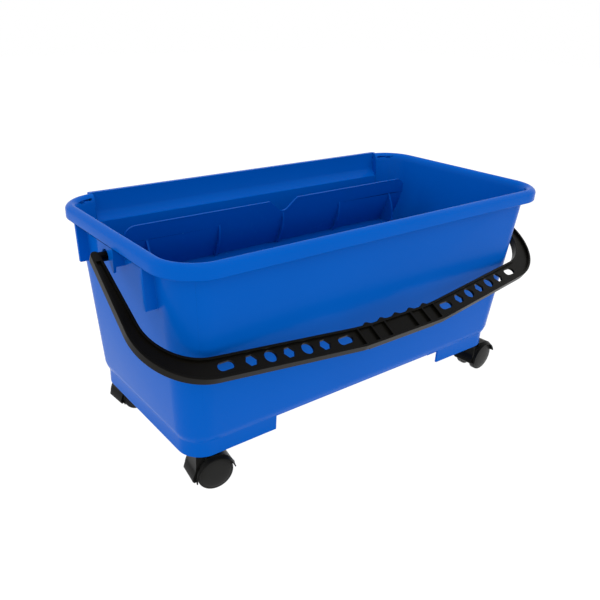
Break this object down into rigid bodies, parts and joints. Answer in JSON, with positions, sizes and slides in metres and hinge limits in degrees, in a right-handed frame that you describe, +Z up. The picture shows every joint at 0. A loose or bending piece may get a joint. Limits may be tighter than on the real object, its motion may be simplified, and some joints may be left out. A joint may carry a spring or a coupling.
{
  "type": "window cleaning bucket",
  "caption": "Rectangular wheeled bucket for window cleaning: rolled rim, lift-out slotted divider tray, swinging carry handle and swivelling twin-wheel castors under the corners.",
  "frame": {"origin": "on the floor under the middle of the whole part, with the handle at rest", "axes": "+X along the long side, +Y from the front to the rear wall, +Z up"},
  "size_m": [0.5706, 0.2952, 0.2632],
  "materials": {
    "tub": "injection moulded polypropylene, satin gloss, blue",
    "sieve": "injection moulded polypropylene, satin gloss, blue",
    "handle": "black nylon, fine satin",
    "castor": "black nylon hood, fine texture",
    "wheel": "black nylon wheel, satin",
    "steel": "zinc plated steel"
  },
  "bodies": {
    "tub": {"tub": "tub", "castor_front_left_sleeve": "steel", "castor_front_right_sleeve": "steel", "castor_rear_left_sleeve": "steel", "castor_rear_right_sleeve": "steel"},
    "sieve": {"sieve": "sieve"},
    "handle": {"handle": "handle"},
    "castor_front_left": {"castor_front_left_hood": "castor", "castor_front_left_stem": "steel", "castor_front_left_axle": "steel"},
    "castor_front_left_wheel_rear": {"castor_front_left_wheel_rear": "wheel"},
    "castor_front_left_wheel_front": {"castor_front_left_wheel_front": "wheel"},
    "castor_front_right": {"castor_front_right_hood": "castor", "castor_front_right_stem": "steel", "castor_front_right_axle": "steel"},
    "castor_front_right_wheel_rear": {"castor_front_right_wheel_rear": "wheel"},
    "castor_front_right_wheel_front": {"castor_front_right_wheel_front": "wheel"},
    "castor_rear_left": {"castor_rear_left_hood": "castor", "castor_rear_left_stem": "steel", "castor_rear_left_axle": "steel"},
    "castor_rear_left_wheel_rear": {"castor_rear_left_wheel_rear": "wheel"},
    "castor_rear_left_wheel_front": {"castor_rear_left_wheel_front": "wheel"},
    "castor_rear_right": {"castor_rear_right_hood": "castor", "castor_rear_right_stem": "steel", "castor_rear_right_axle": "steel"},
    "castor_rear_right_wheel_rear": {"castor_rear_right_wheel_rear": "wheel"},
    "castor_rear_right_wheel_front": {"castor_rear_right_wheel_front": "wheel"}
  },
  "joints": [
    {"name": "handle_swing", "type": "hinge", "parent": "tub", "child": "handle", "pos_m": [0, 0.01229, 0.236], "axis": [-1, 0, 0], "range_deg": [0, 240]},
    {"name": "sieve_lift", "type": "slide", "parent": "tub", "child": "sieve", "axis": [0, 0, 1], "range_m": [0, 0.25]},
    {"name": "castor_front_left_swivel", "type": "hinge", "parent": "tub", "child": "castor_front_left", "pos_m": [-0.2195, -0.07621, 0.044], "axis": [0, 0, 1], "continuous": true},
    {"name": "castor_front_left_wheel_rear_roll", "type": "hinge", "parent": "castor_front_left", "child": "castor_front_left_wheel_rear", "pos_m": [-0.2047, -0.07866, 0.02], "axis": [0.1633, 0.9866, 0], "continuous": true},
    {"name": "castor_front_left_wheel_front_roll", "type": "hinge", "parent": "castor_front_left", "child": "castor_front_left_wheel_front", "pos_m": [-0.2047, -0.07866, 0.02], "axis": [0.1633, 0.9866, 0], "continuous": true},
    {"name": "castor_front_right_swivel", "type": "hinge", "parent": "tub", "child": "castor_front_right", "pos_m": [0.2195, -0.07621, 0.044], "axis": [0, 0, 1], "continuous": true},
    {"name": "castor_front_right_wheel_rear_roll", "type": "hinge", "parent": "castor_front_right", "child": "castor_front_right_wheel_rear", "pos_m": [0.23448, -0.07542, 0.02], "axis": [-0.0523, 0.9986, 0], "continuous": true},
    {"name": "castor_front_right_wheel_front_roll", "type": "hinge", "parent": "castor_front_right", "child": "castor_front_right_wheel_front", "pos_m": [0.23448, -0.07542, 0.02], "axis": [-0.0523, 0.9986, 0], "continuous": true},
    {"name": "castor_rear_left_swivel", "type": "hinge", "parent": "tub", "child": "castor_rear_left", "pos_m": [-0.2195, 0.10079, 0.044], "axis": [0, 0, 1], "continuous": true},
    {"name": "castor_rear_left_wheel_rear_roll", "type": "hinge", "parent": "castor_rear_left", "child": "castor_rear_left_wheel_rear", "pos_m": [-0.20454, 0.10184, 0.02], "axis": [-0.0698, 0.9976, 0], "continuous": true},
    {"name": "castor_rear_left_wheel_front_roll", "type": "hinge", "parent": "castor_rear_left", "child": "castor_rear_left_wheel_front", "pos_m": [-0.20454, 0.10184, 0.02], "axis": [-0.0698, 0.9976, 0], "continuous": true},
    {"name": "castor_rear_right_swivel", "type": "hinge", "parent": "tub", "child": "castor_rear_right", "pos_m": [0.2195, 0.10079, 0.044], "axis": [0, 0, 1], "continuous": true},
    {"name": "castor_rear_right_wheel_rear_roll", "type": "hinge", "parent": "castor_rear_right", "child": "castor_rear_right_wheel_rear", "pos_m": [0.23449, 0.10132, 0.02], "axis": [-0.0349, 0.9994, 0], "continuous": true},
    {"name": "castor_rear_right_wheel_front_roll", "type": "hinge", "parent": "castor_rear_right", "child": "castor_rear_right_wheel_front", "pos_m": [0.23449, 0.10132, 0.02], "axis": [-0.0349, 0.9994, 0], "continuous": true}
  ]
}
